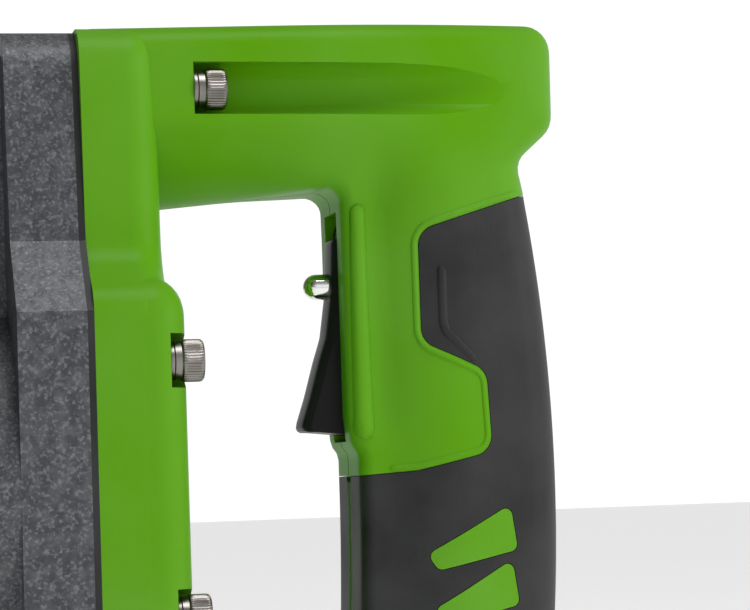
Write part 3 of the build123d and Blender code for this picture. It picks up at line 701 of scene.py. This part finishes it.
class STAPLER_OT_handle(bpy.types.Operator):
    """Build the two halves of the green rear housing and of the rubber grip"""
    bl_idname = "stapler.handle"
    bl_label = "Handle halves"

    def execute(self, context):
        form = handle_half()
        SKIN["tree"] = BVHTree.FromPolygons([v.co.copy() for v in form.data.vertices],
                                            [tuple(p.vertices) for p in form.data.polygons])
        zone = rubber_outline()
        deep_in, clear = 0.001, -0.04
        rubber = copy_of(form, "rubber_form")
        carve(rubber, loft_prism("zone", offset(zone, GAP_LINE * MM), [(clear, 0), (deep_in, 0)]),
              "INTERSECT")
        shell = form
        carve(shell, loft_prism("zone", zone, [(clear, 0), (-0.002, 0)]))
        ribs = []
        for i in range(RIB_COUNT):
            outline = rib_outline(i)
            carve(rubber, side_prism("rib_hole", offset(outline, -GAP_LINE * MM / 2), clear, -0.003))
            rib = handle_half()
            carve(rib, side_prism("rib", offset(outline, GAP_LINE * MM / 2), clear, -0.004), "INTERSECT")
            ribs.append(rib)
        # grooves that lead to the lobe screws, and the trigger's slot
        for up in (-1, 1):
            x, z = at(24, up * 83)
            carve(shell, rod("groove", (x, -0.0185, z), (x + 0.1, -0.0185, z), 0.0055, 72))
            box = [(x + a, z + b * 0.0055) for a, b in ((0, -1), (0.1, -1), (0.1, 1), (0, 1))]
            carve(shell, side_prism("groove", box, -0.04, -0.0185))
        x0, z0 = at(40, 8.6)
        x1, z1 = at(63, 58)
        slot = rounded([(x0, z0), (x1, z0), (x1, z1), (x0, z1)], [0, 0.8 * MM, 0.8 * MM, 0], 4)
        carve(shell, side_prism("slot", slot, -0.0064, 0.001))
        carve(rubber, side_prism("slot", slot, -0.0064, 0.001))
        for a, b, c, d, wide in ((6, 40, 66, 76, 9), (6, 40, -76, -66, 9), (61, 94, 10, 64, 10)):
            corners = [at(a, c), at(b, c), at(b, d), at(a, d)]
            carve(shell, side_prism("hollow", corners, -wide * MM, 0.001))
        block = rear_block_half()
        left = joined("handle_left", [shell, block, *ribs])
        resharpen(left)
        resharpen(rubber)
        rubber.name = "grip_left"
        right = mirrored(left, "handle_right")
        rubber_right = mirrored(rubber, "grip_right")
        for number, (x, z) in enumerate(SHELL_SCREWS):
            px, pz = at(x, z)
            hole = rod("seat", (px, 0.006, pz), (px, 0.04, pz), 0.0033, 40)
            carve(right if number != 3 else rubber_right, hole)
        for made in (right, rubber_right):
            resharpen(made)
        piece(left, "tool", "green_housing", FINISH["green_housing"], "handle_shell_left")
        piece(right, "tool", "green_housing", FINISH["green_housing"], "handle_shell_right")
        piece(rubber, "tool", "black_rubber", FINISH["black_rubber"], "grip_rubber_left")
        piece(rubber_right, "tool", "black_rubber", FINISH["black_rubber"], "grip_rubber_right")
        return {"FINISHED"}


SHELL_SCREWS = [(52, 73), (52, -73), (98, 84), (97, -73), (80, 1)]


def block_solid(name, outline, depth, edge, start=0.0, flush=1.0):
    """Half of a block behind the joint with its rear edge rounded; its outline is in Y and Z.

    Points further than flush from the middle keep their height, so a block can meet a beam's top.
    """
    layers = [[(JOINT_X + start * MM, y, z) for y, z in outline]]
    for k in range(9):
        turn = math.pi / 2 * k / 8
        inset = edge * (1 - math.cos(turn))
        ring = offset(outline, inset * MM)
        ring = [(min(y, -SEAM_GAP * MM), was if abs(was) > flush else z)
                for (y, z), (_, was) in zip(ring, outline)]
        layers.append([(JOINT_X + (depth - edge + edge * math.sin(turn)) * MM, y, z) for y, z in ring])
    return stack(name, layers)


def rear_block_half():
    """The strip and hub that screw to the casting, left half."""
    seam = -SEAM_GAP * MM
    half = [(0.02, 96), (24, 96), (26.8, 48.2), (39, 38.6),
            (39, -38.6), (26.8, -48.2), (24, -96), (0.02, -96)]
    corner_r = [radius * MM for radius in (0, 8, 9, 8, 8, 9, 8, 0)]
    outline = rounded([(-y * MM, z * MM) for y, z in half], corner_r, 10)
    outline = [(min(y, seam), z) for y, z in outline]
    strip = block_solid("strip", outline, 16.3, 7.0, flush=0.07)
    hub_outline = rounded([(0, 0.0432), (-0.03894, 0.0432), (-0.03894, -0.0432), (0, -0.0432)],
                          [0, 0.009, 0.009, 0], 10)
    hub_outline = [(min(y, seam), z) for y, z in hub_outline]
    hub = block_solid("hub", hub_outline, 19.0, 7.5, 1.0)
    for up in (-1, 1):
        x, z = at(15.3, up * 25.7)
        for made in (strip, hub):
            carve(made, rod("notch", (x, -0.0335, z), (x + 0.02, -0.0335, z), 0.0055, 48))
            carve(made, stack("notch", [[(x + a, y, z + b) for y, b in
                                         ((-0.0335, -0.0055), (-0.05, -0.0055), (-0.05, 0.0055), (-0.0335, 0.0055))]
                                        for a in (0, 0.02)]))
    return joined("rear_block", [strip, hub])


def ribbon(name, path, width, height, spread=0.0, sections=10, side_y=-0.06):
    """A raised strip on the handle's left side, along a side view path; it may widen along its length."""
    path = evenly(path, max(12, int(sum(math.dist(a, b) for a, b in zip(path, path[1:])) / (0.7 * MM))))
    bm = bmesh.new()
    rings = []
    count = len(path)
    run = np.concatenate([[0], np.cumsum(np.hypot(*np.diff(path, axis=0).T))])
    for i, (x, z) in enumerate(path):
        before, after = path[max(0, i - 1)], path[min(count - 1, i + 1)]
        along = Vector((after[0] - before[0], after[1] - before[1])).normalized()
        across = Vector((-along.y, along.x))
        full = (width + spread * run[i] / run[-1]) / 2
        taper = min(1.0, min(run[i], run[-1] - run[i]) / full + 0.02)
        reach = full * math.sqrt(1 - (1 - taper) ** 2)
        ring = []
        low = []
        for k in range(sections + 1):
            t = 2 * k / sections - 1
            place = Vector((x, side_y, z)) + Vector((across.x, 0, across.y)) * t * reach
            hit, normal, _, _ = SKIN["tree"].ray_cast(place, Vector((0, 1, 0)))
            if hit is None:
                raise RuntimeError(name + " runs off the handle")
            rise = height * (1 - abs(t) ** 2.6) * (reach / full)
            ring.append(bm.verts.new(hit + normal * rise))
            low.append(bm.verts.new(hit - normal * 0.5 * MM))
        rings.append(ring + low[::-1])
    for near, far in zip(rings, rings[1:]):
        for k in range(len(near)):
            j = (k + 1) % len(near)
            bm.faces.new((near[k], near[j], far[j], far[k]))
    bm.faces.new(rings[0])
    bm.faces.new(list(reversed(rings[-1])))
    return closed_mesh(name, bm, 50)


class STAPLER_OT_trim(bpy.types.Operator):
    """Lay the raised lips, the trigger guard beads and the grip chevrons on the surface"""
    bl_idname = "stapler.trim"
    bl_label = "Raised trim"

    def execute(self, context):
        s = settings()
        zone = offset(rubber_outline(), -(GAP_LINE * MM + s.border_width * 0.55))
        start, end = at(64.5, 2)[0], at(99.5, 60)[0]
        lip_path = []
        for x, z in zone:
            if x < end and z > -0.002:
                lip_path.append((x, z))
        first = (start, np.interp(start, [p[0] for p in lip_path[:2]], [p[1] for p in lip_path[:2]]))
        lip_path = [first, *[p for p in lip_path if p[0] > start]]
        lip = ribbon("lip_left", lip_path, s.border_width, s.border_height)
        bead = ribbon("bead_left", [at(59.5, 59), at(59.4, 40), at(59.5, 9)], 3.4 * MM, 1.1 * MM, 1.3 * MM)
        trims = joined("trim_left", [lip, bead])
        chevron = ribbon("chevron_left", [at(76.8, 45.5), at(76.8, 33.5), at(77.4, 31.5), at(84.0, 25.0)],
                         2.1 * MM, 0.4 * MM)
        for made, slot in ((trims, "green_housing"), (chevron, "black_rubber")):
            twin = mirrored(made, made.name.replace("left", "right"))
            piece(made, "tool", slot, FINISH[slot])
            piece(twin, "tool", slot, FINISH[slot])
        return {"FINISHED"}


# ---------------------------------------------------------------- repeated screws
class Shape:
    """Builds one geometry tree with named inputs."""

    def __init__(self, name, **inputs):
        self.tree = bpy.data.node_groups.new(name, "GeometryNodeTree")
        self.nodes = self.tree.nodes
        self.ids = {}
        faces = self.tree.interface
        faces.new_socket("Geometry", in_out="INPUT", socket_type="NodeSocketGeometry")
        faces.new_socket("Geometry", in_out="OUTPUT", socket_type="NodeSocketGeometry")
        for key, start in inputs.items():
            kind = {int: "NodeSocketInt", float: "NodeSocketFloat"}.get(type(start), "NodeSocketMaterial")
            made = faces.new_socket(key.replace("_", " "), in_out="INPUT", socket_type=kind)
            made.default_value = start
            self.ids[key] = made.identifier
        self.inputs = self.nodes.new("NodeGroupInput")
        self.values = dict(inputs)

    def given(self, key):
        return Value(self, self.inputs.outputs[key.replace("_", " ")])

    def feed(self, socket, item):
        if isinstance(item, Value):
            item = item.socket
        if isinstance(item, bpy.types.NodeSocket):
            self.tree.links.new(item, socket)
        else:
            socket.default_value = item

    def node(self, kind, settings=None, **sockets):
        made = self.nodes.new(kind)
        for key, item in (settings or {}).items():
            setattr(made, key, item)
        for key, item in sockets.items():
            self.feed(made.inputs[key.replace("_", " ")], item)
        return made

    def join(self, *parts):
        made = self.nodes.new("GeometryNodeJoinGeometry")
        for part in parts:
            self.tree.links.new(part, made.inputs[0])
        return made.outputs[0]

    def moved(self, part, x=0.0, y=0.0, z=0.0):
        offset_by = self.node("ShaderNodeCombineXYZ", X=x, Y=y, Z=z).outputs[0]
        return self.node("GeometryNodeTransform", Geometry=part, Translation=offset_by).outputs[0]

    def close(self, part, finish):
        part = self.node("GeometryNodeRealizeInstances", Geometry=part).outputs[0]
        part = self.node("GeometryNodeSetMaterial", Geometry=part, Material=finish).outputs[0]
        out = self.nodes.new("NodeGroupOutput")
        self.tree.links.new(part, out.inputs[0])

    def make(self, name, points):
        """Runs the tree on loose points and gives back a plain mesh object."""
        mesh = bpy.data.meshes.new(name)
        mesh.from_pydata([tuple(p) for p in points], [], [])
        made = bpy.data.objects.new(name, mesh)
        bpy.context.scene.collection.objects.link(made)
        step = made.modifiers.new("shape", "NODES")
        step.node_group = self.tree
        for key, item in self.values.items():
            step[self.ids[key]] = item
        return settle(made)


def socket_screw_shape(finish, knurls, depth):
    """A knurled socket-head screw with its spring washer and flat washer, on each point, head towards +X."""
    t = Shape("socket_screws", head_radius=4.35 * MM, head_height=4.5 * MM, shank_radius=2.42 * MM,
              shank_length=20.0 * MM, socket_radius=2.3 * MM, knurls=knurls, knurl_depth=depth, finish=finish)
    head_r, head_h = t.given("head_radius"), t.given("head_height")
    head = t.node("GeometryNodeMeshCylinder", Vertices=t.given("knurls") * 4, Side_Segments=14, Radius=head_r,
                  Depth=head_h).outputs["Mesh"]
    place = t.node("GeometryNodeInputPosition").outputs[0]
    split = t.node("ShaderNodeSeparateXYZ", Vector=place)
    x, y, z = (Value(t, split.outputs[k]) for k in range(3))
    angle = Value(t, t.node("ShaderNodeMath", {"operation": "ARCTAN2"}).outputs[0])
    t.feed(angle.socket.node.inputs[0], y)
    t.feed(angle.socket.node.inputs[1], x)
    tooth = (angle * t.given("knurls") * 0.5).math("SINE").math("ABSOLUTE")
    near_end = (head_h * 0.5 - z.math("ABSOLUTE")) / (head_h * 0.22)
    near_end = near_end.math("MINIMUM", 1.0).math("MAXIMUM", 0.0)
    round_off = (1 - (1 - near_end).math("POWER", 2.0)).math("SQRT")
    share = round_off * 0.1 + 0.9 - (1 - tooth) * near_end * (t.given("knurl_depth") / head_r)
    scale = t.node("ShaderNodeCombineXYZ", X=share, Y=share, Z=1.0).outputs[0]
    shaped = t.node("ShaderNodeVectorMath", {"operation": "MULTIPLY"})
    t.feed(shaped.inputs[0], place)
    t.feed(shaped.inputs[1], scale)
    head = t.node("GeometryNodeSetPosition", Geometry=head, Position=shaped.outputs[0]).outputs[0]
    key = t.node("GeometryNodeMeshCylinder", Vertices=6, Radius=t.given("socket_radius"),
                 Depth=head_h).outputs["Mesh"]
    key = t.moved(key, z=head_h * 0.5)
    cut = t.node("GeometryNodeMeshBoolean", {"operation": "DIFFERENCE", "solver": "EXACT"})
    t.tree.links.new(head, cut.inputs["Mesh 1"])
    t.tree.links.new(key, cut.inputs["Mesh 2"])
    head = t.moved(cut.outputs["Mesh"], z=head_h * 0.5 + 2.5 * MM)
    length = t.given("shank_length")
    shank = t.node("GeometryNodeMeshCylinder", Vertices=32, Radius=t.given("shank_radius"), Depth=length)
    shank = t.moved(shank.outputs["Mesh"], z=length * -0.5 + 2.6 * MM)
    # spring washer: a split square ring
    arc = t.node("GeometryNodeCurveArc", {"mode": "RADIUS"}, Resolution=60, Radius=3.15 * MM,
                 Start_Angle=0.6, Sweep_Angle=6.0).outputs["Curve"]
    bar = t.node("GeometryNodeCurvePrimitiveQuadrilateral", {"mode": "RECTANGLE"},
                 Width=1.4 * MM, Height=1.3 * MM)
    lock = t.node("GeometryNodeCurveToMesh", Curve=arc, Profile_Curve=bar.outputs[0],
                  Fill_Caps=True).outputs[0]
    lock = t.moved(lock, z=1.75 * MM)
    circle = t.node("GeometryNodeCurvePrimitiveCircle", {"mode": "RADIUS"}, Resolution=64, Radius=3.15 * MM)
    flat = t.node("GeometryNodeCurvePrimitiveQuadrilateral", {"mode": "RECTANGLE"},
                  Width=1.3 * MM, Height=0.96 * MM)
    flat = t.node("GeometryNodeFilletCurve", {"mode": "POLY"}, Curve=flat.outputs[0],
                  Radius=0.22 * MM, Count=3)
    plain = t.node("GeometryNodeCurveToMesh", Curve=circle.outputs[0],
                   Profile_Curve=flat.outputs[0]).outputs[0]
    plain = t.moved(plain, z=0.5 * MM)
    one = t.join(head, shank, lock, plain)
    turned = t.node("GeometryNodeTransform", Geometry=one, Rotation=(0, math.pi / 2, 0)).outputs[0]
    set_out = t.node("GeometryNodeInstanceOnPoints", Points=t.inputs.outputs["Geometry"],
                     Instance=turned).outputs[0]
    t.close(set_out, t.given("finish"))
    return t


class STAPLER_OT_screws(bpy.types.Operator):
    """Set the knurled socket screws with their washers"""
    bl_idname = "stapler.screws"
    bl_label = "Socket screws"

    def execute(self, context):
        s = settings()
        shape = socket_screw_shape(FINISH["screw_steel"], s.knurls, s.knurl_depth)
        seats = []
        for side in (-1, 1):
            for up in (-1, 1):
                seats.append((JOINT_X + 24.0 * MM, side * 18.5 * MM, up * 83.0 * MM))
                seats.append((JOINT_X + 15.3 * MM, side * 33.5 * MM, up * 25.7 * MM))
        screws = shape.make("socket_screws", seats)
        resharpen(screws, 24)
        piece(screws, "tool", "screw_steel", FINISH["screw_steel"],
              "handle_bolts", "flat_washers", "spring_washers")
        return {"FINISHED"}


# ---------------------------------------------------------------- trigger
class STAPLER_OT_trigger(bpy.types.Operator):
    """Build the curved trigger and the domed lock button"""
    bl_idname = "stapler.trigger"
    bl_label = "Trigger and lock button"

    def execute(self, context):
        front = [(55.6, 52.2), (55.35, 51.7), (55.1, 46), (54.7, 39.5), (53.5, 31.3), (51.8, 26.1),
                 (49.6, 18.4), (47.9, 13.3), (47.6, 12.0), (47.9, 11.3), (48.6, 10.9)]
        front = evenly(front, 60)
        rear_x = 66.0
        layers = []
        across = 16
        half = 6.0
        for x, z in front:
            ring = []
            for k in range(across + 1):
                t = 2 * k / across - 1
                past_flat = max(0.0, (abs(t) - 0.62) / 0.38)
                back = 1.5 * (1 - math.sqrt(max(0.0, 1 - past_flat ** 2))) + 0.35 * t * t
                ring.append((JOINT_X + (x + back) * MM, t * half * MM, z * MM))
            shift = (z - 34) * 0.02
            low = z - 1.6 * float(smooth_step(24 - z, 0, 13))
            ring.append((JOINT_X + (rear_x + shift) * MM, half * MM, low * MM))
            ring.append((JOINT_X + (rear_x + shift) * MM, -half * MM, low * MM))
            layers.append(ring)
        blade = stack("trigger_finger", layers)
        x, z = at(40, 42.3)
        carve(blade, rod("bore", (x, 0, z), (x + 0.02, 0, z), 0.0029))
        x, z = at(62, 53.5)
        hub = rod("hub", (x, -0.0052, z), (x, 0.0052, z), 0.0043, 64)
        carve(hub, rod("pin_hole", (x, -0.01, z), (x, 0.01, z), 0.0016))
        carve(blade, rod("pin_hole", (x, -0.01, z), (x, 0.01, z), 0.0018))
        blade = joined("trigger_finger", [blade, hub])
        resharpen(blade, 28)
        piece(blade, "trigger", "black_plastic", FINISH["black_plastic"], "trigger")
        # domed button, a turned profile along +X
        low, high = BUTTON_BOX
        centre_z = (low.z + high.z) / 2
        radius = (high.z - low.z) / 2
        dome = [(low.x + radius * (1 - math.cos(a)), radius * math.sin(a))
                for a in np.linspace(0.02, math.pi / 2, 14)]
        profile = dome + [(high.x, radius)]
        ring_count = 48
        rings = [[(x, r * math.cos(math.tau * k / ring_count), centre_z + r * math.sin(math.tau * k / ring_count))
                  for k in range(ring_count)] for x, r in profile]
        button = stack("lock_dome", rings)
        resharpen(button, 40)
        piece(button, "lock_button", "bright_chrome", FINISH["bright_chrome"], "lock_button")
        return {"FINISHED"}


# ---------------------------------------------------------------- softened hard parts
SOFTENED = {
    "nose_block": 0.9, "nose_cover": 0.7, "magazine_channel": 0.45, "magazine_feet": 0.8, "drawer_cap": 0.8,
    "safety_foot": 0.5, "magazine_latch": 0.5, "magazine_brace": 0.5, "trigger_pin": 0.25,
}


class STAPLER_OT_hardware(bpy.types.Operator):
    """Break the sharp edges of the nose, the magazine and the loose hardware"""
    bl_idname = "stapler.hardware"
    bl_label = "Softened hardware"

    def execute(self, context):
        for node, width in SOFTENED.items():
            source = frame["nodes"][node]
            bm = bmesh.new()
            bm.from_mesh(source.data)
            bmesh.ops.remove_doubles(bm, verts=bm.verts, dist=1e-6)
            bmesh.ops.dissolve_limit(bm, angle_limit=math.radians(1.5), verts=bm.verts, edges=bm.edges)
            mesh = bpy.data.meshes.new(node + "_soft")
            bm.to_mesh(mesh)
            bm.free()
            made = bpy.data.objects.new(node + "_soft", mesh)
            context.scene.collection.objects.link(made)
            step = made.modifiers.new("edge", "BEVEL")
            step.width = width * MM
            step.segments = 3
            step.limit_method = "ANGLE"
            step.angle_limit = math.radians(35)
            step.use_clamp_overlap = True
            settle(made)
            resharpen(made, 40)
            slot = NODE_SLOTS[node]
            piece(made, BODY_OF[node], slot, FINISH[slot], node)
        return {"FINISHED"}


BODY_OF = {node: body for body, nodes in frame["record"]["behaviour"]["bodies"].items() for node in nodes}


# ---------------------------------------------------------------- stage
class STAPLER_OT_stage(bpy.types.Operator):
    """Set the camera, the pale floor and the studio lights"""
    bl_idname = "stapler.stage"
    bl_label = "Stage"

    def execute(self, context):
        s = settings()
        scene = context.scene
        turn, tilt, roll = math.radians(-12), math.radians(-3.4), math.radians(1.95)
        target = Vector((0.2555, 0, 0.0382))
        back = Vector((math.sin(turn) * math.cos(tilt), -math.cos(turn) * math.cos(tilt), math.sin(tilt)))
        right = Vector((0, 0, 1)).cross(back).normalized()
        up = back.cross(right)
        right, up = right * math.cos(roll) - up * math.sin(roll), up * math.cos(roll) + right * math.sin(roll)
        lens = bpy.data.cameras.new("camera")
        lens.lens = s.camera_lens
        lens.sensor_width = 36
        lens.clip_start = 0.01
        lens.dof.use_dof = False
        eye = bpy.data.objects.new("camera", lens)
        place = Matrix((right, up, back)).transposed().to_4x4()
        place.translation = target + back * s.camera_distance
        eye.matrix_world = place
        scene.collection.objects.link(eye)
        scene.camera = eye
        scene.view_settings.view_transform = "Standard"

        size = 6.0
        floor_mesh = bpy.data.meshes.new("floor")
        floor_mesh.from_pydata([(-size, -size, FLOOR_Z), (size, -size, FLOOR_Z), (size, size, FLOOR_Z),
                                (-size, size, FLOOR_Z)], [], [(0, 1, 2, 3)])
        floor = bpy.data.objects.new("floor", floor_mesh)
        scene.collection.objects.link(floor)
        paint = Finish("floor_paper")
        paint.set(Base_Color=(0.85, 0.85, 0.85, 1), Roughness=0.7, Emission_Color=(1, 1, 1, 1),
                  Emission_Strength=0.5)
        floor_mesh.materials.append(paint.material)

        world = bpy.data.worlds.new("studio")
        world.use_nodes = True
        sky = Shade(world.node_tree)
        upward = sky.node("ShaderNodeSeparateXYZ", Vector=sky.node("ShaderNodeTexCoord").outputs["Generated"])
        height = sky.ramp(Value(sky, upward.outputs["Z"]), 0.16, 0.55)
        from_front = sky.ramp(Value(sky, upward.outputs["X"]), -0.65, 0.02)
        sky.feed(world.node_tree.nodes["Background"].inputs["Strength"],
                 (height * (ZENITH - HORIZON) + HORIZON) * (from_front * (1 - DIM_SIDE) + DIM_SIDE))
        world.node_tree.nodes["Background"].inputs["Color"].default_value = (1, 1, 1, 1)
        scene.world = world
        middle = Vector((0.24, 0, 0.0))
        for name, spot, size, power in LIGHTS:
            lamp = bpy.data.lights.new(name, "AREA")
            lamp.size = size
            lamp.energy = power
            holder = bpy.data.objects.new(name, lamp)
            holder.location = middle + Vector(spot)
            holder.rotation_euler = (Vector(spot)).to_track_quat("Z", "Y").to_euler()
            scene.collection.objects.link(holder)
        return {"FINISHED"}


HORIZON, ZENITH, DIM_SIDE = 1.05, 0.3, 0.12
LIGHTS = [
    ("key_above", (0.15, -0.3, 0.9), 0.45, 4.5),
    ("side_right", (0.9, -0.45, 0.25), 0.45, 1.8),
]


# ---------------------------------------------------------------- panel and registration
OPERATORS = (STAPLER_OT_finishes, STAPLER_OT_handle, STAPLER_OT_trim, STAPLER_OT_screws, STAPLER_OT_trigger,
             STAPLER_OT_hardware, STAPLER_OT_stage)


class STAPLER_PT_panel(bpy.types.Panel):
    """Sizes, colours and build steps of the staple gun"""
    bl_idname = "STAPLER_PT_panel"
    bl_label = "Staple Gun"
    bl_space_type = "VIEW_3D"
    bl_region_type = "UI"
    bl_category = "Staple Gun"

    def draw(self, context):
        box = self.layout.box()
        for key in STAPLER_PG_settings.__annotations__:
            box.prop(settings(), key)
        for step in OPERATORS:
            self.layout.operator(step.bl_idname)


CLASSES = (STAPLER_PG_settings, *OPERATORS, STAPLER_PT_panel)


def register():
    for made in CLASSES:
        bpy.utils.register_class(made)
    bpy.types.Scene.stapler = PointerProperty(type=STAPLER_PG_settings)


def unregister():
    del bpy.types.Scene.stapler
    for made in reversed(CLASSES):
        bpy.utils.unregister_class(made)


def main():
    register()
    for step in OPERATORS:
        group, name = step.bl_idname.split(".")
        getattr(getattr(bpy.ops, group), name)()


if __name__ == "__main__":
    main()
